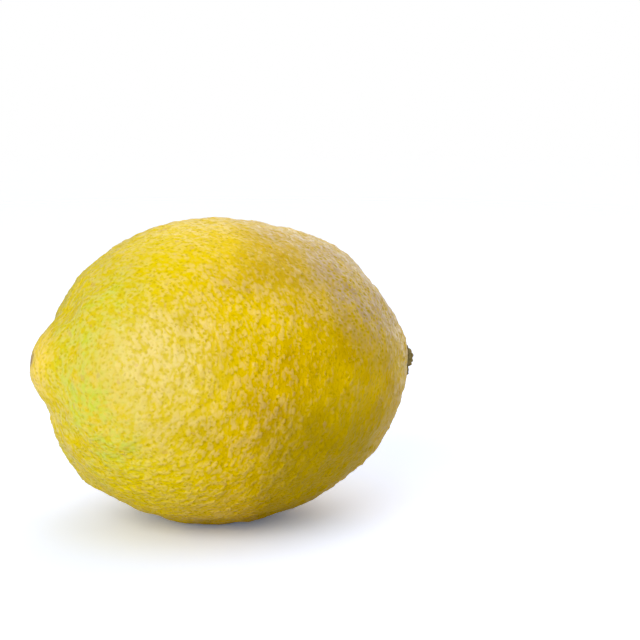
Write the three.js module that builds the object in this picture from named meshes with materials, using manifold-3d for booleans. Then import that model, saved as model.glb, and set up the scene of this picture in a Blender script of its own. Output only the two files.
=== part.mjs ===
// A ripe lemon lying on its side, at its real size.
// Two things grew separately and are separate meshes: the fruit in its rind, and the woody button
// that the clipped stem leaves at the far end. Millimetres, +Z up, long axis along X,
// blossom end (nipple) towards -X, stem end towards +X.

import * as THREE from "three";
import { mergeVertices } from "three/addons/utils/BufferGeometryUtils.js";
import Module from "manifold-3d";

const wasm = await Module();
wasm.setup();

// ---- Body: two half ellipsoids that share the widest section ----
const GIRTH_RADIUS = 30;
const BLOSSOM_HALF = 34.3;
const STEM_HALF = 37.5;
const HALVES_BLEND = 0.7;

// ---- Blossom end: a blunt nipple above the axis, with a furrow round its foot ----
const NIPPLE_LENGTH = 2.9;
const NIPPLE_RADIUS = 6.6;
const NIPPLE_SHARPNESS = 2.6;
const NIPPLE_RISE = 4;
const FURROW_DEPTH = 0.6;
const FURROW_RADIUS = 10.5;
const FURROW_WIDTH = 2.5;

// ---- Stem end: a short drawn-out neck, dimpled where the stem was ----
const NECK_LENGTH = 1.6;
const NECK_RADIUS = 10;
const DIMPLE_DEPTH = 1.3;
const DIMPLE_RADIUS = 4.6;
const DIMPLE_SHARPNESS = 4;

// ---- Swellings and hollows of the rind: which way each faces, its height and its spread in radians ----
const SWELLINGS = [
  // low and high shoulder of the blossom end
  { toward: [-0.74, 0.05, -0.67], height: 0.9, spread: 0.14 },
  { toward: [-0.68, 0.2, 0.7], height: 0.35, spread: 0.15 },
  // hollow above the nipple
  { toward: [-0.9, 0.2, 0.4], height: -0.35, spread: 0.12 },
  // two flatter places on top, then the high shoulder of the stem end
  { toward: [-0.3, -0.1, 0.95], height: -0.25, spread: 0.2 },
  { toward: [0.2, 0.1, 0.97], height: -0.3, spread: 0.15 },
  { toward: [0.68, 0, 0.73], height: 0.6, spread: 0.2 },
];

// ---- Pebbled rind: gentle waves that cross at every angle ----
const WAVE_COUNT = 26;
const WAVE_HEIGHT = 0.04;
const WAVE_FADE = 0.3;
const LONGEST_WAVE = 17;
const SHORTEST_WAVE = 4.6;
const WAVE_SHIFT = 1.7;

// ---- Faint ribs that run out from both ends ----
const RIB_COUNT = 9;
const RIB_HEIGHT = 0.22;
const RIB_START = 0.8;
const RIB_SPREAD = 0.16;

// ---- Rest spot: the rind is pressed flat under the centre of mass ----
const REST_SPOT_DEPTH = 0.5;
const GROUND_WIDTH = 60;
const GROUND_THICKNESS = 10;

// ---- Stem button: five blunt calyx lobes round the stub of the clipped stem ----
const CALYX_RADIUS = 4.2;
const CALYX_LOBES = 5;
const CALYX_LOBE_DEPTH = 0.1;
const CALYX_LOBE_START = 3;
const CALYX_THICKNESS = 0.9;
const STUB_RADIUS = 1.9;
const STUB_HEIGHT = 1.5;
const STUB_TOP = 0.85;
const STUB_FOOT = 1.2;
const GROWTH_GAP = 0.3;

// ---- Facets ----
const RIND_DETAIL = 21;
const BUTTON_SIDES = 40;
const BUTTON_RINGS = 9;
const POLE_DENSITY = 0.2;
const WELD = 1e-4;

const { exp, cos, sin, hypot, sqrt, PI, pow, abs } = Math;
const bell = (distance, width) => exp(-((distance / width) ** 2));

// Each wave is a plane sine that travels along its own direction, spread evenly over the sphere.
const GOLDEN_ANGLE = PI * (3 - sqrt(5));
const waves = Array.from({ length: WAVE_COUNT }, (_, k) => {
  const along = 1 - (2 * (k + 0.5)) / WAVE_COUNT;
  const turn = GOLDEN_ANGLE * k;
  const across = sqrt(1 - along * along);
  const mix = ((k * 7) % WAVE_COUNT) / (WAVE_COUNT - 1);
  const length = LONGEST_WAVE * pow(SHORTEST_WAVE / LONGEST_WAVE, mix);
  return {
    direction: new THREE.Vector3(along, across * cos(turn), across * sin(turn)),
    rate: (2 * PI) / length,
    height: WAVE_HEIGHT * pow(length / LONGEST_WAVE, WAVE_FADE),
    shift: WAVE_SHIFT * k * k,
  };
});

function pebbles(point) {
  let total = 0;
  for (const wave of waves) {
    total += wave.height * sin(wave.rate * wave.direction.dot(point) + wave.shift);
  }
  return total;
}

function swell(toward) {
  let total = 0;
  for (const { toward: facing, height, spread } of SWELLINGS) {
    const angle = toward.angleTo(new THREE.Vector3(...facing));
    total += height * bell(angle, spread);
  }
  return total;
}

// The rind's skin above one direction of a unit sphere.
function rindPoint(toward) {
  const blend = THREE.MathUtils.smoothstep(toward.x, -HALVES_BLEND, HALVES_BLEND);
  const half = BLOSSOM_HALF + (STEM_HALF - BLOSSOM_HALF) * blend;
  const size = new THREE.Vector3(half, GIRTH_RADIUS, GIRTH_RADIUS);
  const point = toward.clone().multiply(size);
  const outward = toward.clone().divide(size).normalize();
  const fromAxis = hypot(point.y, point.z);
  const fromNipple = hypot(point.y, point.z - NIPPLE_RISE);

  const around = Math.atan2(point.z, point.y);
  const ribs = RIB_HEIGHT * cos(RIB_COUNT * around) * bell(abs(toward.x) - RIB_START, RIB_SPREAD);
  let lift = swell(toward) + pebbles(point) + ribs;
  let stretch;
  if (toward.x < 0) {
    lift -= FURROW_DEPTH * bell(fromNipple - FURROW_RADIUS, FURROW_WIDTH);
    stretch = -NIPPLE_LENGTH * exp(-pow(fromNipple / NIPPLE_RADIUS, NIPPLE_SHARPNESS));
  } else {
    stretch = NECK_LENGTH * bell(fromAxis, NECK_RADIUS);
    stretch -= DIMPLE_DEPTH * exp(-pow(fromAxis / DIMPLE_RADIUS, DIMPLE_SHARPNESS));
  }
  point.addScaledVector(outward, lift);
  point.x += stretch;
  return point;
}

// Moves every vertex of a geometry and leaves only merged positions.
function reshape(geometry, place) {
  geometry.deleteAttribute("normal");
  geometry.deleteAttribute("uv");
  const merged = mergeVertices(geometry, WELD);
  const position = merged.getAttribute("position");
  const vertex = new THREE.Vector3();
  for (let i = 0; i < position.count; i++) {
    const moved = place(vertex.fromBufferAttribute(position, i));
    position.setXYZ(i, moved.x, moved.y, moved.z);
  }
  return merged;
}

function solid(geometry) {
  const bare = geometry.clone();
  bare.deleteAttribute("normal");
  bare.deleteAttribute("uv");
  const merged = mergeVertices(bare, WELD);
  return new wasm.Manifold(
    new wasm.Mesh({
      numProp: 3,
      vertProperties: new Float32Array(merged.getAttribute("position").array),
      triVerts: new Uint32Array(merged.index.array),
    }),
  );
}

function geometryOf(manifold) {
  const mesh = manifold.getMesh();
  const geometry = new THREE.BufferGeometry();
  geometry.setAttribute("position", new THREE.BufferAttribute(mesh.vertProperties, 3));
  geometry.setIndex(new THREE.BufferAttribute(mesh.triVerts, 1));
  geometry.computeVertexNormals();
  return geometry;
}

// The whole rind from one evenly split sphere, with its points drawn towards both ends.
function fruitGeometry() {
  const skin = reshape(new THREE.IcosahedronGeometry(1, RIND_DETAIL), (vertex) => {
    const along = vertex.x * (1 + POLE_DENSITY * (1 - vertex.x * vertex.x));
    const across = sqrt(Math.max(0, 1 - along * along)) / Math.max(WELD, hypot(vertex.y, vertex.z));
    return rindPoint(new THREE.Vector3(along, vertex.y * across, vertex.z * across));
  });
  skin.computeBoundingBox();
  const lowest = skin.boundingBox.min.z;
  const ground = new THREE.BoxGeometry(GROUND_WIDTH, GROUND_WIDTH, GROUND_THICKNESS);
  ground.translate(0, 0, lowest + REST_SPOT_DEPTH - GROUND_THICKNESS / 2);
  return geometryOf(solid(skin).subtract(solid(ground)));
}

// The button follows the dimple under it: a closed skin whose upper side rises over the lobes and the stub.
function buttonGeometry() {
  const round = new THREE.SphereGeometry(1, BUTTON_SIDES, 2 * BUTTON_RINGS);
  round.rotateZ(-PI / 2);
  return reshape(round, (vertex) => {
    const around = Math.atan2(vertex.z, vertex.y);
    const spread = hypot(vertex.y, vertex.z);
    const lobes = CALYX_LOBE_DEPTH * cos(CALYX_LOBES * around) * spread ** CALYX_LOBE_START;
    const reach = CALYX_RADIUS * (1 + lobes);
    const radius = reach * spread;
    const y = radius * cos(around);
    const z = radius * sin(around);
    const toward = new THREE.Vector3(0, y / GIRTH_RADIUS, z / GIRTH_RADIUS);
    toward.x = sqrt(1 - toward.lengthSq());
    const skin = rindPoint(toward);
    let height = GROWTH_GAP;
    if (vertex.x > 0) {
      height += CALYX_THICKNESS * sqrt(vertex.x);
      const beside = THREE.MathUtils.smoothstep(radius / STUB_RADIUS, STUB_TOP, STUB_FOOT);
      height += STUB_HEIGHT * (1 - beside);
    }
    return new THREE.Vector3(skin.x + height, skin.y, skin.z);
  });
}

const rind = new THREE.MeshStandardMaterial({ color: 0xe2c21c, roughness: 0.45, metalness: 0 });
const wood = new THREE.MeshStandardMaterial({ color: 0x8b7d4a, roughness: 0.85, metalness: 0 });

const fruit = new THREE.Mesh(fruitGeometry(), rind);
fruit.name = "fruit";
const stemButton = new THREE.Mesh(buttonGeometry(), wood);
stemButton.name = "stem_button";

// The origin is under the middle of the lemon, on the surface that it rests on.
const grown = new THREE.Group();
grown.add(fruit, stemButton);
const box = new THREE.Box3().setFromObject(grown, true);
const middle = box.getCenter(new THREE.Vector3());
grown.position.set(-middle.x, -middle.y, -box.min.z);

const lemon = new THREE.Group();
lemon.name = "lemon";
lemon.add(grown);

export default lemon;
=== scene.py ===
# %% [markdown]
# # A lemon, grown in Blender
#
# The measured solids of the lemon come in first: the fruit in its rind and the woody button at its stem
# end. They fix the place and the size of everything below, in metres, with +Z up and the fruit's long axis
# along X. Each piece is then made again with a fine skin, in the same place.

# %% Load the measured solids
import math

import bmesh
import bpy
import numpy as np
from mathutils import Matrix, Vector


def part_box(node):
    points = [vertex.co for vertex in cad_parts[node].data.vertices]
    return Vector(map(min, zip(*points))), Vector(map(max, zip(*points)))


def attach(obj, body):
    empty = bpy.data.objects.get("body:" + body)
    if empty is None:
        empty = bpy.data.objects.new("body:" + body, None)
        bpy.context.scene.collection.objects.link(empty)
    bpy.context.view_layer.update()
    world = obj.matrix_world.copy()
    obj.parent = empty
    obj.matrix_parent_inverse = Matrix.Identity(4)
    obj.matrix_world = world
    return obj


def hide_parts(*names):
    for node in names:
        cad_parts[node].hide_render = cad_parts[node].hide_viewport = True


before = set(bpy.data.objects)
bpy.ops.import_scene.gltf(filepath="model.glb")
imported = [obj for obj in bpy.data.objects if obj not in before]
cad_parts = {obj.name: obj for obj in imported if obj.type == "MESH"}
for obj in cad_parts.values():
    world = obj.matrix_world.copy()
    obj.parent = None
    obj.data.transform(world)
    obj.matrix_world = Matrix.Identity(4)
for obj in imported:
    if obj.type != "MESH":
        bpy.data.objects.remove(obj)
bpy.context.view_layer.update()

fruit_low, fruit_high = (np.array(corner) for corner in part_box("fruit"))
print("solids:", sorted(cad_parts), "fruit box in metres:", fruit_high - fruit_low)

# %% [markdown]
# ## Camera
#
# A fruit this small is best seen from half a metre away through a long lens, so that its round body isn't
# swollen by perspective. The camera stands a little above the table and looks at a point beside the lemon,
# which leaves the lemon at the left of the square view. Working out the camera from an azimuth, an
# elevation and a distance keeps those three choices visible, where a bare matrix would hide them.

# %% Aim the camera
MM = 0.001
CAMERA_AZIMUTH = math.radians(-18)
CAMERA_ELEVATION = math.radians(12)
CAMERA_DISTANCE = 520 * MM
VIEW_WIDTH = 125.7 * MM
BESIDE_THE_FRUIT = 20.5 * MM
ABOVE_THE_FRUIT = 9.9 * MM
SENSOR_WIDTH = 36.0
NEAREST_SEEN = 10 * MM

girth_middle = Vector((-1.9 * MM, 0.0, 29.5 * MM))
back = Vector(
    (
        math.sin(CAMERA_AZIMUTH) * math.cos(CAMERA_ELEVATION),
        -math.cos(CAMERA_AZIMUTH) * math.cos(CAMERA_ELEVATION),
        math.sin(CAMERA_ELEVATION),
    )
)
right = Vector((math.cos(CAMERA_AZIMUTH), math.sin(CAMERA_AZIMUTH), 0.0))
up = back.cross(right)
aim = girth_middle + right * BESIDE_THE_FRUIT + up * ABOVE_THE_FRUIT

lens = bpy.data.cameras.new("camera")
lens.sensor_width = SENSOR_WIDTH
lens.lens = SENSOR_WIDTH * CAMERA_DISTANCE / VIEW_WIDTH
lens.clip_start = NEAREST_SEEN
camera = bpy.data.objects.new("camera", lens)
turned = Matrix((right, up, back)).transposed().to_4x4()
camera.matrix_world = Matrix.Translation(aim + back * CAMERA_DISTANCE) @ turned
bpy.context.collection.objects.link(camera)
bpy.context.scene.camera = camera
print("lens in mm:", round(lens.lens, 1), "camera at:", [round(c, 3) for c in camera.location])

# %% [markdown]
# ## A helper for shader sums
#
# A material's look is mostly arithmetic on a few patterns: one minus a mask, a mask times another, and so
# on. Each sum could be built node by node, but the code would hide the idea. The small class below wraps an
# output socket and gives it the usual operators, so that a sum is written as a sum and the Math nodes
# follow by themselves.

# %% Shader sums
class Wire:
    """An output socket that can stand in a sum like a number."""

    def __init__(self, tree, socket):
        self.tree = tree
        self.socket = socket

    def maths(self, operation, *values):
        """Feeds wires and numbers to a new Math node."""
        node = self.tree.nodes.new("ShaderNodeMath")
        node.operation = operation
        for place, value in zip(node.inputs, values):
            if isinstance(value, Wire):
                self.tree.links.new(value.socket, place)
            else:
                place.default_value = value
        return Wire(self.tree, node.outputs[0])

    def __add__(self, other):
        return self.maths("ADD", self, other)

    def __sub__(self, other):
        return self.maths("SUBTRACT", self, other)

    def __rsub__(self, other):
        return self.maths("SUBTRACT", other, self)

    def __mul__(self, other):
        return self.maths("MULTIPLY", self, other)

    def __truediv__(self, other):
        return self.maths("DIVIDE", self, other)

    def __pow__(self, other):
        return self.maths("POWER", self, other)

    __radd__ = __add__
    __rmul__ = __mul__

    def between(self, low, high):
        """A soft step: 0 below low, 1 above high. The limits may be given in falling order."""
        span = (self - low) / (high - low)
        kept = self.maths("MINIMUM", self.maths("MAXIMUM", span, 0.0), 1.0)
        return kept * kept * (3.0 - 2.0 * kept)


print("a wire knows:", [name for name in vars(Wire) if callable(getattr(Wire, name))])

# %% [markdown]
# ## A helper for shader nodes
#
# Every other node has settings, inputs and outputs. To write each on a line of its own would hide the look
# again, so the second class makes a node in one call, and the nodes that are used most have a name. Node
# groups could be shared in the same way, but a method shows its numbers where it is called.

# %% Shader nodes
class Recipe:
    """The nodes of a material or a world, under construction."""

    def __init__(self, owner):
        owner.use_nodes = True
        self.owner = owner
        self.tree = owner.node_tree
        self.tree.nodes.clear()

    def node(self, kind, settings=None, inputs=None, output=0):
        """Adds a node and returns one of its outputs, or the node if it has none."""
        made = self.tree.nodes.new(kind)
        for name, value in (settings or {}).items():
            setattr(made, name, value)
        for name, value in (inputs or {}).items():
            if isinstance(value, Wire):
                self.tree.links.new(value.socket, made.inputs[name])
            else:
                made.inputs[name].default_value = value
        return Wire(self.tree, made.outputs[output]) if made.outputs else made

    def place(self):
        """Where each point of the surface lies, in metres from the table's origin."""
        return self.node("ShaderNodeTexCoord", output=3)

    def blend(self, factor, first, second, mode="MIX"):
        """Mixes two colours. In a Mix node set to colours, these are inputs 6 and 7, and output 2."""
        settings = {"data_type": "RGBA", "blend_type": mode}
        return self.node("ShaderNodeMix", settings, {0: factor, 6: first, 7: second}, output=2)

    def layers(self, tone, shares_and_colours):
        """Mixes one colour after another over a tone, each by its share."""
        for share, layer in shares_and_colours:
            tone = self.blend(share, tone, layer)
        return tone

    def vector(self, operation, first, second, output=0):
        """Vector arithmetic: output 0 is a vector and output 1 a number."""
        return self.node("ShaderNodeVectorMath", {"operation": operation}, {0: first, 1: second}, output)

    def attribute(self, name):
        """A number stored at each point of the mesh."""
        return self.node("ShaderNodeAttribute", {"attribute_name": name}, output=2)

    def noise(self, place, size, detail=2.0, output=0, **more):
        """Cloudy noise, its blobs about `size` metres wide. Given a W, it has a fourth coordinate."""
        settings = {"noise_dimensions": "4D"} if "W" in more else None
        inputs = {"Vector": place, "Scale": 0.5 / size, "Detail": detail, **more}
        return self.node("ShaderNodeTexNoise", settings, inputs, output)

    def finish(self, surface):
        """Connects the last node to the output and returns the finished material or world."""
        owner_kind = "World" if isinstance(self.owner, bpy.types.World) else "Material"
        self.node("ShaderNodeOutput" + owner_kind, None, {"Surface": surface})
        return self.owner


def colour(red, green, blue):
    """A colour on a screen, from 0 to 255, as the linear values that shaders use."""
    screen = np.array([red, green, blue]) / 255
    linear = np.where(screen <= 0.04045, screen / 12.92, ((screen + 0.055) / 1.055) ** 2.4)
    return (*linear.tolist(), 1.0)


print("mid grey on a screen is, to a shader:", [round(c, 3) for c in colour(128, 128, 128)])

# %% [markdown]
# ## A sheet of white paper
#
# The lemon lies on a white sheet that has no visible edge. The sheet could be a curved backdrop, but a
# round table top that melts into the white around it does the same with one face. White paper in full light
# has to come out as pure white and still carry a soft grey shadow. So the camera sees the paper a little
# brighter than the light that it throws back onto the fruit, and a faint glow keeps the middle of the
# shadow from going black.

# %% White table top
TABLE_RADIUS = 520 * MM
TABLE_SIDES = 96
FADE_START = 110 * MM
FADE_END = TABLE_RADIUS * 0.98
PAPER = (0.76, 0.76, 0.76, 1.0)
BRIGHT_PAPER = (1.02, 1.07, 1.24, 1.0)
LIFT = (0.075, 0.095, 0.13, 1.0)
BLACK = (0.0, 0.0, 0.0, 1.0)


def table_material():
    """Paper that fades out at the rim. `seen` is 1 for what the camera sees, and 0 for light on its way."""
    recipe = Recipe(bpy.data.materials.new("table"))
    distance = recipe.node("ShaderNodeVectorMath", {"operation": "LENGTH"}, {0: recipe.place()}, output=1)
    seen = recipe.node("ShaderNodeLightPath")
    paper = recipe.node("ShaderNodeBsdfDiffuse", None, {"Color": recipe.blend(seen, PAPER, BRIGHT_PAPER)})
    lift = recipe.node("ShaderNodeEmission", None, {"Color": recipe.blend(seen, BLACK, LIFT)})
    matt = recipe.node("ShaderNodeAddShader", None, {0: paper, 1: lift})
    clear = recipe.node("ShaderNodeBsdfTransparent")
    fading = distance.between(FADE_START, FADE_END)
    return recipe.finish(recipe.node("ShaderNodeMixShader", None, {0: fading, 1: matt, 2: clear}))


table_mesh = bpy.data.meshes.new("table")
rim_turns = np.linspace(0, 2 * np.pi, TABLE_SIDES, endpoint=False)
rim = [(TABLE_RADIUS * math.cos(t), TABLE_RADIUS * math.sin(t), 0.0) for t in rim_turns]
table_mesh.from_pydata(rim, [], [range(len(rim))])
table_mesh.materials.append(table_material())
table = bpy.data.objects.new("table", table_mesh)
bpy.context.collection.objects.link(table)
print("table top radius in mm:", TABLE_RADIUS / MM)

# %% [markdown]
# ## Daylight
#
# The light is soft: a wide window at the front left, a broad overhead light on the other side, and a white
# room that is brighter behind the fruit than in front of it. That last difference matters for gloss. A waxy
# rind mirrors the bright wall along its far edge, and keeps its deep yellow where it faces the dim front.
# An image of a sky could light the scene too, but two lamps and two soft walls can each be moved until one
# thing is right. The view transform is the plain one, because it leaves the yellows as strong as they are.
# A slightly raised black level makes them stronger still.

# %% Lights
WINDOW_POWER = 4.3
OVERHEAD_POWER = 3.2
ROOM_DARK = 0.03
ROOM_LIGHT = 0.5
LIGHT_SIDE = (-0.45, 0.3, 0.84)
LIGHT_SIDE_EDGES = (-0.4, 0.9)
MIRRORED_WALL = 1.5
MIRRORED_SIDE = (0.67, 0.61, 0.42)
MIRRORED_EDGES = (0.6, 1.0)
BLACK_LEVEL = 0.01


def soft_light(name, azimuth, elevation, distance, size, power):
    """A square soft light that faces the fruit. Angles in degrees, lengths in metres, power in watts."""
    turn = math.radians(azimuth)
    rise = math.radians(elevation)
    toward = Vector((math.sin(turn) * math.cos(rise), -math.cos(turn) * math.cos(rise), math.sin(rise)))
    light = bpy.data.lights.new(name, "AREA")
    light.shape = "SQUARE"
    light.size = size
    light.energy = power
    lamp = bpy.data.objects.new(name, light)
    lamp.location = girth_middle + toward * distance
    lamp.rotation_euler = toward.to_track_quat("Z", "Y").to_euler()
    bpy.context.collection.objects.link(lamp)


soft_light("window", azimuth=-47, elevation=24, distance=0.75, size=0.75, power=WINDOW_POWER)
soft_light("overhead", azimuth=62, elevation=66, distance=0.9, size=1.3, power=OVERHEAD_POWER)


def room():
    """White wherever it is looked at. As a light it is dim at the front and has one bright wall."""
    recipe = Recipe(bpy.data.worlds.new("room"))
    direction = recipe.node("ShaderNodeTexCoord")

    def toward(side):
        return recipe.vector("DOT_PRODUCT", direction, side, output=1)

    walls = toward(LIGHT_SIDE).between(*LIGHT_SIDE_EDGES) * (ROOM_LIGHT - ROOM_DARK) + ROOM_DARK
    walls = walls + toward(MIRRORED_SIDE).between(*MIRRORED_EDGES) * MIRRORED_WALL
    seen = recipe.node("ShaderNodeLightPath")
    strength = seen + (1.0 - seen) * walls
    white = {"Color": (1.0, 1.0, 1.0, 1.0), "Strength": strength}
    return recipe.finish(recipe.node("ShaderNodeBackground", None, white))


bpy.context.scene.world = room()
view = bpy.context.scene.view_settings
view.view_transform = "Standard"
view.use_curve_mapping = True
view.curve_mapping.black_level = (BLACK_LEVEL,) * 3
view.curve_mapping.update()

# %% [markdown]
# ## The fruit's form
#
# A lemon is two half ellipsoids of different length that share their widest section. The blossom end
# carries a blunt nipple, off the axis, inside a furrow; the stem end is drawn out into a short neck with a
# dimple. Soft swellings and long crossing waves keep it from looking turned on a lathe. One function places
# a point of the skin above each direction of a sphere, so the same form can be sampled as finely as the
# skin needs. The numbers are the ones that the measured solid was made from, in millimetres.

# %% Driving dimensions of the form
GIRTH_RADIUS = 30.0
BLOSSOM_HALF = 34.3
STEM_HALF = 37.5
HALVES_BLEND = 0.7
NIPPLE_LENGTH = 2.9
NIPPLE_RADIUS = 6.6
NIPPLE_SHARPNESS = 2.6
NIPPLE_RISE = 4.0
FURROW_DEPTH = 0.6
FURROW_RADIUS = 10.5
FURROW_WIDTH = 2.5
NECK_LENGTH = 1.6
NECK_RADIUS = 10.0
DIMPLE_DEPTH = 1.3
DIMPLE_RADIUS = 4.6
RIB_COUNT = 9
RIB_HEIGHT = 0.22
RIB_START = 0.8
RIB_SPREAD = 0.16
SWELLINGS = [
    {"toward": (-0.74, 0.05, -0.67), "height": 0.9, "spread": 0.14},
    {"toward": (-0.68, 0.2, 0.7), "height": 0.35, "spread": 0.15},
    {"toward": (-0.9, 0.2, 0.4), "height": -0.35, "spread": 0.12},
    {"toward": (-0.3, -0.1, 0.95), "height": -0.25, "spread": 0.2},
    {"toward": (0.2, 0.1, 0.97), "height": -0.3, "spread": 0.15},
    {"toward": (0.68, 0.0, 0.73), "height": 0.6, "spread": 0.2},
]


def bell(distance, width):
    """1 where the distance is 0, and soon nothing beyond the width."""
    return np.exp(-((distance / width) ** 2))


def unit(vectors):
    """The same directions, each with a length of 1."""
    return vectors / np.linalg.norm(vectors, axis=-1, keepdims=True)


def soft_step(value, low, high):
    """0 below low, 1 above high, and a smooth rise between them."""
    t = np.clip((value - low) / (high - low), 0, 1)
    return t * t * (3 - 2 * t)


print("body without nipple and neck in mm:", BLOSSOM_HALF + STEM_HALF, "long,", 2 * GIRTH_RADIUS, "across")

# %% [markdown]
# ## Crossing waves
#
# Crossing waves are an easy way to a restless but smooth surface. Each wave is a plane sine that travels in
# its own direction, and the directions are spread evenly with the golden angle. A few long ones give the
# broad unevenness of the fruit; many short ones give the pebbled rind. Noise textures could do it too, but
# a sum of sines is the same in every program, so the fine skin follows the measured solid exactly.

# %% Crossing waves
GOLDEN_ANGLE = math.pi * (3 - math.sqrt(5))


def crossing_waves(points, count, height, longest, shortest, fade, shift, rings=0.0):
    """Sum of plane sines at each point. Heights and lengths are in millimetres, like the points.

    `rings` is a distance from somewhere, at each point. Across the rings that it makes, waves are shorter.
    """
    total = np.zeros(len(points))
    for k in range(count):
        along = 1 - 2 * (k + 0.5) / count
        across = math.sqrt(1 - along * along)
        turn = GOLDEN_ANGLE * k
        travel = np.array([along, across * math.cos(turn), across * math.sin(turn)])
        mix = (k * 7 % count) / (count - 1)
        length = longest * (shortest / longest) ** mix
        path = points @ travel + rings * math.cos(turn * k)
        total += height * (length / longest) ** fade * np.sin(2 * np.pi / length * path + shift * k * k)
    return total


def unevenness(points):
    """The soft waves that the measured solid has too."""
    return crossing_waves(points, count=26, height=0.04, longest=17.0, shortest=4.6, fade=0.3, shift=1.7)


print("waves at +X, +Y and +Z of a ball, in mm:", unevenness(np.eye(3) * GIRTH_RADIUS).round(3))

# %% [markdown]
# ## From a direction to the skin
#
# With the driving dimensions and the waves in hand, the skin is one formula. It starts from a ball, scales
# it to the two half ellipsoids, lifts it along its own outward direction by the sum of all the soft forms,
# and at last draws out the nipple and the neck along the axis. Sculpting could reach the same form, but a
# formula can be asked for the skin at any point, which the stem button will need later on.

# %% The skin above a direction
def rind_points(toward):
    """The skin above each direction of a unit sphere, and the way it faces there, in millimetres."""
    along = toward[:, 0]
    half = BLOSSOM_HALF + (STEM_HALF - BLOSSOM_HALF) * soft_step(along, -HALVES_BLEND, HALVES_BLEND)
    size = np.stack([half, np.full_like(half, GIRTH_RADIUS), np.full_like(half, GIRTH_RADIUS)], axis=-1)
    body = toward * size
    outward = unit(toward / size)
    from_axis = np.hypot(body[:, 1], body[:, 2])
    from_nipple = np.hypot(body[:, 1], body[:, 2] - NIPPLE_RISE)
    around = np.arctan2(body[:, 2], body[:, 1])

    lift = RIB_HEIGHT * np.cos(RIB_COUNT * around) * bell(np.abs(along) - RIB_START, RIB_SPREAD)
    lift += unevenness(body)
    for swelling in SWELLINGS:
        facing = unit(np.array(swelling["toward"]))
        angle = np.arccos(np.clip(toward @ facing, -1, 1))
        lift += swelling["height"] * bell(angle, swelling["spread"])

    blossom = along < 0
    lift -= np.where(blossom, FURROW_DEPTH * bell(from_nipple - FURROW_RADIUS, FURROW_WIDTH), 0)
    nipple = -NIPPLE_LENGTH * np.exp(-((from_nipple / NIPPLE_RADIUS) ** NIPPLE_SHARPNESS))
    dimple = DIMPLE_DEPTH * np.exp(-((from_axis / DIMPLE_RADIUS) ** 4))
    neck = NECK_LENGTH * bell(from_axis, NECK_RADIUS) - dimple
    skin = body + outward * lift[:, None]
    skin[:, 0] += np.where(blossom, nipple, neck)
    return skin, outward


ends, _ = rind_points(np.array([[-1.0, 0.0, 0.0], [1.0, 0.0, 0.0]]))
print("skin at the two ends of the axis, in mm:", ends.round(2).tolist())

# %% [markdown]
# ## Oil glands
#
# What makes a rind read as citrus is its oil glands: tiny sacs under the skin, about a millimetre apart,
# each with a small dimple over it. Bump in the material could draw them, but a grid of them would show as
# rows, and the mesh itself would stay smooth. So the glands are seeded as a spiral over the sphere, each is
# nudged at random, and a net of triangles joins every gland to its neighbours. The hull of points on a
# sphere is exactly that net, and Blender has a tool that finds it.

# %% Seed the glands
GLAND_COUNT = 13000
GLAND_JITTER = 0.27
DICE_SEED = 7
dice = np.random.default_rng(DICE_SEED)


def gland_directions():
    """Jittered spiral of directions over the unit sphere. Its two ends are on the fruit's axis."""
    index = np.arange(GLAND_COUNT) + 0.5
    along = 1 - 2 * index / GLAND_COUNT
    across = np.sqrt(1 - along * along)
    turn = GOLDEN_ANGLE * index
    spiral = np.stack([along, across * np.cos(turn), across * np.sin(turn)], axis=-1)
    spacing = math.sqrt(4 * math.pi / GLAND_COUNT)
    return unit(spiral + dice.normal(size=spiral.shape) * spacing * GLAND_JITTER)


def gland_net(glands):
    """Triangles that join each gland to its neighbours: the faces of the hull of points on a sphere."""
    work = bmesh.new()
    for gland in glands:
        work.verts.new(gland)
    bmesh.ops.convex_hull(work, input=work.verts[:])
    loose = [vertex for vertex in work.verts if not vertex.link_faces]
    bmesh.ops.delete(work, geom=loose, context="VERTS")
    work.verts.index_update()
    directions = np.array([vertex.co[:] for vertex in work.verts])
    triangles = np.array([[vertex.index for vertex in face.verts] for face in work.faces])
    work.free()
    corners = directions[triangles]
    facing = np.cross(corners[:, 1] - corners[:, 0], corners[:, 2] - corners[:, 0])
    inward = np.einsum("ij,ij->i", facing, corners[:, 0]) < 0
    triangles[inward] = triangles[inward][:, ::-1]
    return directions, triangles


glands, net = gland_net(gland_directions())
print("glands:", len(glands), "triangles in the net:", len(net))

# %% [markdown]
# ## A vertex for every ridge and knoll
#
# The skin sinks over each gland and rises between glands. Any sphere that is fine enough could carry these
# dimples, but it would need many faces for each. Cutting each triangle of the net into six needs the
# fewest: one vertex on each gland, one on each ridge between two glands, and one on each knoll between
# three. Then sinking the first kind and raising the last makes a real dimple at every gland.

# %% Cut each triangle of the net in six
def cut_in_six(directions, triangles):
    """Adds a vertex on each edge and in each triangle. Returns all directions and the small triangles."""
    count = len(directions)
    edges = np.sort(triangles[:, [[0, 1], [1, 2], [2, 0]]].reshape(-1, 2), axis=1)
    unique, place = np.unique(edges, axis=0, return_inverse=True)
    ridges = unit(directions[unique].mean(axis=1))
    knolls = unit(directions[triangles].mean(axis=1))
    ridge = count + place.reshape(-1, 3)
    knoll = count + len(ridges) + np.arange(len(triangles))
    small = []
    for corner in range(3):
        after = (corner + 1) % 3
        small.append(np.stack([triangles[:, corner], ridge[:, corner], knoll], axis=-1))
        small.append(np.stack([ridge[:, corner], triangles[:, after], knoll], axis=-1))
    return np.concatenate([directions, ridges, knolls]), np.concatenate(small)


directions, faces = cut_in_six(glands, net)
print("skin vertices:", len(directions), "skin triangles:", len(faces))

# %% [markdown]
# ## Where the relief is strong
#
# A rind isn't equally rough all over. It gets coarser toward the underside, and most of all on a creased
# patch low on the stem half. It is drawn tight on the nipple, and pressed flat where it lies on the table.
# Each of these is a share for every vertex, made from its distance to a spot or from its depth below the
# axis. A mask painted by hand would do too, but a distance stays right when the mesh is cut more finely.

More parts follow.
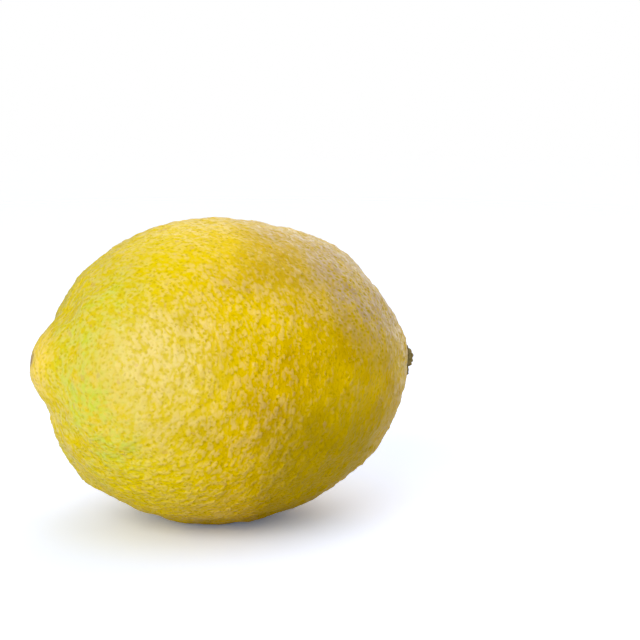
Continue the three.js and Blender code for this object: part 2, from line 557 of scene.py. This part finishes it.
# %% Shares of relief
CREASED_SPOT = (8.0, -24.0, 19.0)
CREASED_REACH = 15.0
CALM_REACH = 7.0
UNDERSIDE = (0, 18)
PRESSED = (18, 28)
COARSER_BELOW = 0.4
CALMER_PRESSED = 0.9
COARSER_CREASED = 0.8

skin, outward = rind_points(directions)
to_table = np.array(
    [
        fruit_low[0] / MM - skin[:, 0].min(),
        (fruit_high[1] + fruit_low[1]) / MM / 2 - (skin[:, 1].max() + skin[:, 1].min()) / 2,
        fruit_high[2] / MM - skin[:, 2].max(),
    ]
)
creased = bell(np.linalg.norm(skin + to_table - CREASED_SPOT, axis=1), CREASED_REACH)
calm = 1 - bell(np.hypot(skin[:, 1], skin[:, 2] - NIPPLE_RISE), CALM_REACH) * (skin[:, 0] < 0)
depth = -skin[:, 2]
coarseness = 1 + COARSER_BELOW * soft_step(depth, *UNDERSIDE) - CALMER_PRESSED * soft_step(depth, *PRESSED)
coarseness += COARSER_CREASED * creased
print("shift from the girth's middle to the table frame in mm:", to_table.round(3))

# %% [markdown]
# ## Pebbles and folds
#
# Between its glands the rind is drawn into low pebbles, two to five millimetres wide, that catch the light
# on one side. They come from shorter crossing waves, and squaring a share of them makes round tops and
# narrow creases. Longer waves add soft folds. All of them are longer along rings around the blossom end
# than across them. This could be done with bump in the material, but then the outline of the fruit would
# stay as smooth as glass.

# %% Pebbles and folds
RING_CENTRE = (-29.0, -17.0, 35.0)
RING_START = 12.0
RING_PULL = 1.5
ROUND_TOPS = 0.25
LOWEST_PEBBLE = -2
HIGHEST_PEBBLE = 3
short_waves = {"count": 70, "height": 1.0, "longest": 4.6, "shortest": 1.9, "fade": 0.3, "shift": 2.3}
long_waves = {"count": 24, "height": 1.0, "longest": 10.0, "shortest": 5.0, "fade": 0.3, "shift": 2.9}

from_centre = np.hypot(np.linalg.norm(skin + to_table - RING_CENTRE, axis=1), RING_START)
pebble = crossing_waves(skin, rings=from_centre * RING_PULL, **short_waves)
pebble = pebble / pebble.std()
pebble = np.clip(pebble + ROUND_TOPS * (pebble**2 - 1), LOWEST_PEBBLE, HIGHEST_PEBBLE)
fold = crossing_waves(skin, rings=from_centre, **long_waves)
fold = fold / fold.std()
print("folds reach from", fold.min().round(1), "to", fold.max().round(1), "times their usual height")

# %% [markdown]
# ## Relief on the skin
#
# The glands are sunk and the knolls between them raised. Each gland has a depth of its own, drawn at
# random, because no two oil sacs are the same. Pebbles and folds are added, and the sum lifts each vertex
# the way that the skin faces there. A displace modifier could lift them too, but a plain sum can be held to
# its limits: no point may be below the table, or well outside the box of the measured solid.

# %% Sink the glands and raise the pebbles
GLAND_DEPTH = 0.055
GLAND_SPREAD = 0.35
SMALLEST_GLAND = 0.2
LARGEST_GLAND = 1.8
KNOLL_HEIGHT = 0.02
PEBBLE_HEIGHT = 0.06
FOLD_HEIGHT = 0.13
FOLD_ELSEWHERE = 0.3
OUTSIDE_THE_BOX = 0.2

gland_size = np.clip(dice.normal(1.0, GLAND_SPREAD, len(glands)), SMALLEST_GLAND, LARGEST_GLAND)
lift = PEBBLE_HEIGHT * pebble * calm * coarseness
lift += FOLD_HEIGHT * fold * calm * (FOLD_ELSEWHERE + creased)
lift[: len(glands)] -= GLAND_DEPTH * gland_size
lift[-len(net) :] += KNOLL_HEIGHT
skin = skin + outward * lift[:, None] + to_table
skin[:, 2] = np.maximum(skin[:, 2], 0.0)
skin = np.clip(skin, fruit_low / MM - OUTSIDE_THE_BOX, fruit_high / MM + OUTSIDE_THE_BOX)
print("relief from", lift.min().round(2), "to", lift.max().round(2), "mm")

# %% [markdown]
# ## The fruit's mesh
#
# Points and triangles become a mesh in one call. Its shading is smooth, so that light rolls over the
# dimples and no single face shows. Two values go along with every vertex for the material to read: the size
# of the gland there and the height of the pebble. The material could make glands and pebbles of its own,
# but then its colours wouldn't sit on the relief.

# %% Make the fruit's mesh
CREASED_CONTRAST = 1.5


def mesh_object(name, vertices_mm, polygons):
    """A smooth-shaded mesh from points in millimetres."""
    mesh = bpy.data.meshes.new(name)
    mesh.from_pydata((vertices_mm * MM).tolist(), [], polygons)
    mesh.polygons.foreach_set("use_smooth", [True] * len(mesh.polygons))
    made = bpy.data.objects.new(name, mesh)
    bpy.context.collection.objects.link(made)
    return made


def store(made, layer, values):
    """Keeps one number for each vertex, for the material to read."""
    made.data.attributes.new(layer, "FLOAT", "POINT").data.foreach_set("value", values)


pore = np.zeros(len(directions))
pore[: len(glands)] = gland_size
fruit_skin = mesh_object("fruit_skin", skin, faces.tolist())
store(fruit_skin, "pore", pore)
store(fruit_skin, "pebble", pebble * calm * (1 + CREASED_CONTRAST * creased))
print("fruit skin faces:", len(fruit_skin.data.polygons))

# %% [markdown]
# ## The weave of the rind
#
# Seen closely, the rind isn't even. Pale flecks a millimetre wide lie on the tops of the pebbles, and the
# deep yellow shows in the creases. The flecks are painted highlights, glints of the soft light on the tops,
# and they stand for wax too, which is thick there and thin in the creases. The flecks are drawn out along
# rings around the blossom end, because the skin stretches that way as the fruit swells. Stretching the
# texture along one axis would lean every fleck the same way. Instead the distance from the middle of the
# rings goes into the pattern as a fourth coordinate, so that it changes faster across the rings than along
# them, wherever the point is. Cells give the flecks their round tops, fine noise breaks them into strokes,
# and coarser noise gathers them.

# %% Flecks, strokes and pores
CELL_SIZE = 1.25 * MM
WANDER_SIZE = 1.2 * MM
STROKE_SIZE = 0.55 * MM
DASH_SIZE = 1.8 * MM


def rind_weave(recipe, place):
    """The fine patterns of the rind, each from 0 to about 1."""
    centre = tuple(c * MM for c in RING_CENTRE)
    away = recipe.vector("DISTANCE", place, centre, output=1)
    rings = (away * away + (RING_START * MM) ** 2) ** 0.5 * RING_PULL
    wander = recipe.noise(place, WANDER_SIZE, detail=1.0, output=1)
    wandering = recipe.vector("ADD", recipe.vector("MULTIPLY", wander, (WANDER_SIZE,) * 3), place)
    cells = recipe.node(
        "ShaderNodeTexVoronoi",
        {"voronoi_dimensions": "4D"},
        {"Vector": wandering, "W": rings, "Scale": 1 / CELL_SIZE},
    )
    gland = recipe.attribute("pore")
    return {
        "pore": gland.between(0.35, 1.15),
        "hollow": gland.between(0.05, 0.75),
        "knoll": cells.between(0.85, 0.35),
        "strokes": recipe.noise(place, STROKE_SIZE, detail=1.0, W=rings),
        "dashes": recipe.noise(place, DASH_SIZE, detail=0.5, W=rings),
    }


print("cells of", round(CELL_SIZE / MM, 2), "mm, broken into strokes of", round(STROKE_SIZE / MM, 2), "mm")

# %% [markdown]
# ## Zones of colour
#
# A lemon ripens unevenly. Its gold is deeper in soft random clouds, the blossom half is greener, and the
# shoulder around the nipple is still green. The other zones are painted light and shade. The top and two
# spots on the front and lower left are painted lighter, as painted light. The low stem half is painted
# olive, as painted shade toward the table. One cheek has a pale patch that is a painted highlight of the
# window, shown as a bloom of wax. The high shoulder of the stem end, a spot on top and a spot near the
# bottom are a dull tan, a painted reflection of the bright wall and the table, shown as a dry film. Where
# the rind is dim, fewer highlights are painted. Each zone could be painted on the mesh, but a ball of
# influence says the same with a spot and two distances, and it stays soft at its edge. Two or more balls
# together make a longer patch.

# %% Zones
def rind_zones(recipe, place):
    """How strongly each zone shows, from 0 to about 1. Spots are in millimetres from the table's origin."""

    def near(spot, far, close):
        """1 within `close` millimetres of a spot, fading to 0 at `far`."""
        away = recipe.vector("DISTANCE", place, tuple(c * MM for c in spot), output=1)
        return away.between(far * MM, close * MM)

    clouds = recipe.noise(place, 8 * MM)
    patches = recipe.noise(place, 3 * MM)
    along = recipe.node("ShaderNodeSeparateXYZ", None, {0: place})
    height = recipe.node("ShaderNodeSeparateXYZ", None, {0: place}, output=2)
    shoulder = along.between(-20 * MM, -30 * MM) * along.between(-37.5 * MM, -34 * MM)
    return {
        "deep": (clouds + (patches - 0.5) * 0.5).between(0.35, 0.68),
        "fresh": along.between(2 * MM, -26 * MM),
        "below": height.between(28 * MM, 8 * MM),
        # Painted highlight of the window on one cheek, shown as a pale bloom of wax.
        "bloom_highlight": near((-22, -22, 35), 21, 4) * 0.8
        + near((-29.5, -17, 31), 13, 3) * 0.7
        + clouds.between(0.45, 0.7) * 0.2,
        # Painted light: the top is painted lighter.
        "bright": near((-10, -7, 60), 20, 5),
        # Painted light: two spots painted lighter, high on the front and at the lower left.
        "glow": near((0, -25, 47), 11, 3) * 0.7 + near((-20, -20, 13), 16, 5),
        # Painted shade: the low stem half is darker olive toward the table.
        "olive_shade": near((14, -26, 12), 26, 6) * (0.6 + clouds * 0.8) + near((12, -16, 3), 14, 4) * 0.5,
        # Painted reflection: a dull tan sheen of the bright wall on the stem shoulder and top, and of the
        # table near the bottom, shown as a dry film.
        "dull_sheen": near((24, -11, 47), 19, 8)
        + near((9, -5, 60), 12, 4) * 0.5
        + near((-8, -16, 3), 12, 3) * 0.25,
        # Where the rind is dim, fewer painted highlights are laid on it.
        "dim": near((18, -24, 28), 22, 8) + near((4, -15, 57), 13, 4) * 0.9,
        "lime": shoulder * (0.15 + (patches - 0.5) * 1.2)
        + near((-33, -12, 32), 12, 2) * 0.5
        + near((-29, -17, 24), 13, 2) * 0.45
        + near((-27, -19, 19), 9, 2) * 0.3
        + near((-27, -12, 48), 13, 2) * 0.4,
        "tip": near((-39, 0, 34), 9, 3),
        "scar": near((-39.5, 0.9, 34.6), 2.6, 1.2) * patches.between(0.3, 0.6),
        "specks": recipe.noise(place, 1.1 * MM, detail=1.0).between(0.7, 0.76),
        "patches": patches,
    }


print("middle of the girth, which helps to place the spots, in mm:", to_table.round(1))

# %% [markdown]
# ## Wax and painted highlights
#
# The flecks are painted highlights on the tops of the cells, strokes and pebbles, and stand for the wax
# that gathers there and leaves the glands nearly bare. Fewer are painted where the rind is green, under
# the painted sheen, on the painted highlight patch and the painted lit top, toward the underside, in the
# painted olive shade and where the rind is dim. A texture of its own could say how much wax and highlight
# there is, but a sum of the patterns that are there already keeps flecks, grain and glands in step.

# %% Share of wax and painted highlight
THINNEST_FLECK = 0.88
FULL_FLECK = 1.62
FULL_WAX_HIGHLIGHT = 0.84


def wax_and_highlight_share(recipe, zone, fine):
    """How much waxy fleck and painted highlight lies on each point, from 0 to the full share."""
    gathered = (fine["dashes"] - 0.5) * 0.5 + (zone["patches"] - 0.5) * 0.2
    thick = fine["knoll"] * 0.6 + fine["strokes"] * 1.7 + gathered
    thick = thick + recipe.attribute("pebble") * 0.05 - fine["pore"] * 0.3
    thick = thick + zone["bloom_highlight"] * 0.2 - zone["dim"] * 0.3
    # Fewer painted highlights on the green, the painted sheen, the highlight patch, the lit top, the
    # underside, the olive shade and where dim.
    less_wax_highlight = zone["bloom_highlight"] * 0.15 + zone["olive_shade"] * 0.45 + zone["below"] * 0.2 + zone["dull_sheen"] * 0.3
    less_wax_highlight = less_wax_highlight + zone["bright"] * 0.3 + zone["lime"] * 0.2 + zone["dim"] * 0.25
    return thick.between(THINNEST_FLECK, FULL_FLECK) * (FULL_WAX_HIGHLIGHT - less_wax_highlight)


print("wax shows where the patterns add up to", THINNEST_FLECK, "and is full at", FULL_FLECK)

# %% [markdown]
# ## Colour of the rind
#
# Ripe rind is a deep, clean yellow under a thin natural wax. The colour is built from the ground up: first
# the ground of gold and deep gold, then the zones one after another, with their painted light, shade,
# highlight and sheen, then the flecks of wax and painted highlight, which are added and not mixed in
# because a pale film or a highlight brightens whatever lies under it. The oil shows olive gold through each
# gland, most of all where the glands break the painted dull sheen. One ramp from pale to dark would be
# shorter, but then no zone could be moved without the others.

# %% Colours of the rind
# Used only for painted light: the lighter top and two lighter spots.
PAINTED_LIGHT_YELLOW = colour(246, 214, 0)
GOLD = colour(230, 193, 4)
DEEP = colour(206, 167, 0)
# Painted highlight: the pale reflection of the window, shown as a bloom of wax.
PALE_HIGHLIGHT = colour(224, 200, 74)
FRESH = colour(226, 208, 10)
LIME = colour(203, 208, 40)
WARM = colour(246, 214, 80)
# Painted shade over an olive tone, low on the stem half.
OLIVE_SHADE = colour(184, 156, 0)
# Painted reflection: the dull tan sheen of the bright wall and the table, shown as a dry film.
DULL_SHEEN = colour(190, 160, 106)
OIL = colour(178, 150, 0)
BLEMISH = colour(204, 160, 104)
SCAR = colour(120, 84, 88)
# Pale tint added as flecks: painted highlights, standing for wax as well.
WAX_HIGHLIGHT_TINT = (0.086, 0.069, 0.11, 1.0)


def rind_colour(recipe, zone, fine, wax_highlight):
    """The colour of the rind, from the ground up. `weave` varies about 0, and frays the zones' edges."""
    weave = fine["dashes"] + fine["strokes"] - 1.0
    ground = recipe.blend(zone["deep"], GOLD, DEEP)
    zones = [
        # Painted light on the top and on two spots.
        (zone["bright"] * 0.65, PAINTED_LIGHT_YELLOW),
        (zone["glow"] * 0.5, PAINTED_LIGHT_YELLOW),
        (zone["fresh"] * 0.62, FRESH),
        # Painted highlight patch of the window on one cheek.
        (zone["bloom_highlight"] * (0.8 + weave * 1.8), PALE_HIGHLIGHT),
        # Painted olive shade low on the stem half.
        (zone["olive_shade"].between(0.0, 1.0) * 0.8, OLIVE_SHADE),
        # Painted dull sheen, a reflection of the bright wall and the table.
        (zone["dull_sheen"] * (0.9 + weave * 1.4 - fine["hollow"] * 0.55), DULL_SHEEN),
        (zone["lime"] * (0.6 + weave * 2.8), LIME),
        (zone["tip"] * 0.7, WARM),
    ]
    marks = [
        # The glands show olive gold, most of all through the painted dull sheen.
        (fine["pore"] * (0.35 - zone["bloom_highlight"] * 0.1) + fine["hollow"] * zone["dull_sheen"] * 0.5, OIL),
        (zone["specks"] * 0.35, BLEMISH),
        (zone["scar"], SCAR),
    ]
    # The flecks of wax and painted highlight are added over the zones.
    with_wax_highlight = recipe.blend(wax_highlight, recipe.layers(ground, zones), WAX_HIGHLIGHT_TINT, "ADD")
    return recipe.layers(with_wax_highlight, marks)


print("deepest and palest rind, to a shader:", np.round(DEEP[:3], 2), np.round(PALE_HIGHLIGHT[:3], 2))

# %% [markdown]
# ## Rind
#
# The gloss is low on the bare rind and higher on the flecks of wax and painted highlight, which is what a
# clear coat is for. A little light spreads under the skin, as it does in every fruit. The grain of cells
# and strokes is too fine for the mesh, so it is left to bump: deeper on the underside, and shallower under
# the painted dull sheen. A finer mesh could hold it, but it would need ten times as many faces and look the
# same.

# %% Rind material
GRAIN_DEPTH = 0.13 * MM
LIGHT_SPREAD = 1.2 * MM
BARE_COAT = 0.02
WAXED_COAT = 0.8


def rind_material():
    recipe = Recipe(bpy.data.materials.new("rind"))
    place = recipe.place()
    fine = rind_weave(recipe, place)
    zone = rind_zones(recipe, place)
    # Where the flecks of wax and painted highlight lie.
    wax_highlight = wax_and_highlight_share(recipe, zone, fine)

    grain = fine["knoll"] * 0.5 + fine["strokes"] - fine["pore"] * 0.3
    # Shallower grain under the painted dull sheen.
    grain = grain * (1.0 + zone["below"] * 0.8 - zone["dull_sheen"] * 0.6)
    bumps = {"Strength": 1.0, "Distance": GRAIN_DEPTH, "Height": grain}
    surface = {
        "Base Color": rind_colour(recipe, zone, fine, wax_highlight),
        "Roughness": 0.36,
        "IOR": 1.4,
        "Specular IOR Level": 0.15,
        "Coat Weight": BARE_COAT + wax_highlight * WAXED_COAT,
        "Coat Roughness": 0.2,
        "Subsurface Weight": 0.12,
        "Subsurface Radius": (1.0, 0.7, 0.15),
        "Subsurface Scale": LIGHT_SPREAD,
        "Normal": recipe.node("ShaderNodeBump", None, bumps),
    }
    return recipe.finish(recipe.node("ShaderNodeBsdfPrincipled", None, surface))


fruit_skin.data.materials.append(rind_material())
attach(fruit_skin, "root")
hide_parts("fruit")
print("rind nodes:", len(fruit_skin.active_material.node_tree.nodes))

# %% [markdown]
# ## Stem button
#
# Where the stalk was clipped, the fruit keeps a small woody button: five blunt calyx lobes that lie on the
# rind, and in their middle the stub of the stalk with its pale cut face. It could be carved from a disc,
# but its underside has to follow the dimple, so it is laid out in rings on the rind instead. Every ring is
# a set of points on the skin, and each point is lifted by the height of the button there. The underside is
# let into the rind a little, because a calyx grows out of the fruit and leaves no gap.

# %% Rings of the stem button
CALYX_RADIUS = 4.2
CALYX_LOBES = 5
CALYX_LOBE_DEPTH = 0.1
CALYX_LOBE_START = 3
BUTTON_SIDES = 180
BUTTON_RINGS = 72
CLOSER_AT_RIM = 1.8

side_turns = np.linspace(0, 2 * np.pi, BUTTON_SIDES, endpoint=False)
ring_steps = np.linspace(0, 1, BUTTON_RINGS + 1)[1:]
spread = np.repeat(1 - (1 - ring_steps) ** CLOSER_AT_RIM, BUTTON_SIDES)
around = np.tile(side_turns, BUTTON_RINGS)
uneven = 1 + 0.02 * np.sin(2 * around + 1) + 0.015 * np.sin(3 * around)
lobes = CALYX_LOBE_DEPTH * np.cos(CALYX_LOBES * around) * spread**CALYX_LOBE_START
radius = CALYX_RADIUS * (1 + lobes) * uneven * spread


def on_the_rind(radius, around):
    """Points of the skin at the stem end, a given distance from the axis."""
    across = radius / GIRTH_RADIUS
    toward = np.stack([0 * across, across * np.cos(around), across * np.sin(around)], axis=-1)
    toward[:, 0] = np.sqrt(1 - (toward**2).sum(axis=1))
    return rind_points(toward)[0] + to_table


top = on_the_rind(radius, around)
print("button points on the rind:", len(top), "out to", radius.max().round(2), "mm from the axis")

# %% [markdown]
# ## Height of the button
#
# Each calyx lobe is a little arched, with a groove on either side and fine wrinkles along it. The stub
# stands in the middle, slightly tilted, and its cut face has shrunk into a shallow cup with faint growth
# rings. Modelled by hand these would be five lobes and a peg. As a height above the rind they are a few
# cosines of the angle and the radius, and they can't come apart.

# %% Height of the button above the rind
CALYX_THICKNESS = 0.9
EDGE_HEIGHT = 0.3
LOBED_FROM = 0.4
LOBED_FULLY = 0.85
GROOVE_DEPTH = 0.35
CREST_HEIGHT = 0.12
WRINKLES = 23
WRINKLE_HEIGHT = 0.05
STUB_RADIUS = 1.9
STUB_HEIGHT = 1.5
STUB_TILT = 0.06
CUT_SHARE = 0.85
CUT_DEPTH = 0.25
GROWTH_RING = 0.35
GROWTH_RING_HEIGHT = 0.03


def button_top(radius, around, spread):
    """Height of the button above the rind, and a mask: 1 on the stub and 0 on the calyx."""
    lobe = np.cos(CALYX_LOBES * around)
    height = EDGE_HEIGHT + CALYX_THICKNESS * (1 - spread**2) ** 0.25
    outer = soft_step(spread, LOBED_FROM, LOBED_FULLY)
    height -= GROOVE_DEPTH * outer * bell(1 + lobe, 0.4)
    height += CREST_HEIGHT * outer * bell(1 - lobe, 0.15)
    height += WRINKLE_HEIGHT * outer * np.sin(WRINKLES * around + 3 * np.sin(2 * around))
    stub_radius = STUB_RADIUS * (1 + 0.05 * np.sin(3 * around + 0.5) + 0.02 * np.sin(8 * around))
    stub = 1 - soft_step(radius / stub_radius, 0.9, 1.15)
    cut = np.clip(1 - (radius / (CUT_SHARE * STUB_RADIUS)) ** 2, 0, 1)
    height += stub * (STUB_HEIGHT + STUB_TILT * radius * np.cos(around - 0.7)) - CUT_DEPTH * cut
    height += GROWTH_RING_HEIGHT * cut * np.cos(2 * np.pi * radius / GROWTH_RING)
    return height, stub


height, stub = button_top(radius, around, spread)
print("highest point of the button above the rind in mm:", height.max().round(2))

# %% [markdown]
# ## The button's closed mesh
#
# The upper side and the underside have the same rings, and the outermost ring belongs to both. One point in
# the middle closes each side. Two separate sheets joined afterwards would do too, but a body that is closed
# from the start has no seam to mend.

# %% Make the button's mesh
LET_IN = 0.1
ALONG_THE_STALK = [0.5, 1, 1]
fibres = {"count": 30, "height": 0.02, "longest": 1.5, "shortest": 0.35, "fade": 0.3, "shift": 1.1}

grain = crossing_waves(top * ALONG_THE_STALK, **fibres)
under = top[:-BUTTON_SIDES].copy()
top[:, 0] += np.where(spread < 1, height + grain, EDGE_HEIGHT / 2)
under[:, 0] -= LET_IN
middle = on_the_rind(np.zeros(2), np.zeros(2))
middle[0, 0] += button_top(np.zeros(1), np.zeros(1), np.zeros(1))[0][0]
middle[1, 0] -= LET_IN
button_points = np.concatenate([top, under, middle])
above = len(button_points) - 2
below = above + 1

side = np.arange(BUTTON_SIDES)
after = (side + 1) % BUTTON_SIDES


def band(inner, outer):
    """Faces between two rings, each given by its first vertex, wound as the upper side needs them."""
    return np.stack([inner + side, outer + side, outer + after, inner + after], axis=-1)


button_faces = []
for ring in range(BUTTON_RINGS - 1):
    inner = ring * BUTTON_SIDES
    outer = inner + BUTTON_SIDES
    lower_inner = len(top) + inner
    last = ring == BUTTON_RINGS - 2
    lower_outer = outer if last else lower_inner + BUTTON_SIDES
    button_faces += band(inner, outer).tolist()
    button_faces += band(lower_inner, lower_outer)[:, ::-1].tolist()
button_faces += np.stack([side, after, np.full_like(side, above)], axis=-1).tolist()
button_faces += np.stack([len(top) + after, len(top) + side, np.full_like(side, below)], axis=-1).tolist()

button = mesh_object("button", button_points, button_faces)
store(button, "stub", np.concatenate([stub, 0 * stub[:-BUTTON_SIDES], [1.0, 0.0]]))
button_size = button_points.max(axis=0) - button_points.min(axis=0)
print("button faces:", len(button_faces), "size in mm:", button_size.round(2))

# %% [markdown]
# ## Bark of the button
#
# The dried calyx is grey-brown and rough, with darker and paler speckles, and the cut stub shows pale wood
# with short fibres. The two could be separate materials, but a value stored at each point of the mesh, 1 on
# the stub and 0 elsewhere, lets one material blend them with a soft edge.

# %% Bark
HUSK = colour(122, 108, 58)
PALE_HUSK = colour(150, 134, 82)
DARK_SPECKLE = colour(78, 60, 34)
PALE_SPECKLE = colour(186, 170, 118)
WOOD = colour(158, 130, 84)
PALE_WOOD = colour(196, 170, 118)
SPECKLE_SIZE = 0.35 * MM
BLOTCH_SIZE = 1.5 * MM
FIBRE_SIZE = 0.125 * MM
BARK_DEPTH = 0.08 * MM


def bark_material():
    recipe = Recipe(bpy.data.materials.new("bark"))
    place = recipe.place()
    speckle = recipe.noise(place, SPECKLE_SIZE, detail=4.0)
    blotch = recipe.noise(place, BLOTCH_SIZE)
    fibre = recipe.noise(place, FIBRE_SIZE, detail=3.0, Distortion=0.4)
    wood = recipe.blend(fibre.between(0.4, 0.6), WOOD, PALE_WOOD)
    shares = [
        (blotch.between(0.35, 0.65), PALE_HUSK),
        (speckle.between(0.55, 0.7) * 0.7, DARK_SPECKLE),
        (speckle.between(0.42, 0.3) * 0.5, PALE_SPECKLE),
        (recipe.attribute("stub").between(0.85, 1.0), wood),
    ]
    bumps = {"Strength": 1.0, "Distance": BARK_DEPTH, "Height": speckle + fibre * 0.5}
    surface = {
        "Base Color": recipe.layers(HUSK, shares),
        "Roughness": 0.65 + speckle * 0.3,
        "IOR": 1.45,
        "Normal": recipe.node("ShaderNodeBump", None, bumps),
    }
    return recipe.finish(recipe.node("ShaderNodeBsdfPrincipled", None, surface))


button.data.materials.append(bark_material())
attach(button, "root")
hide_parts("stem_button")
print("bark nodes:", len(button.active_material.node_tree.nodes))

# %% [markdown]

# %% [markdown]
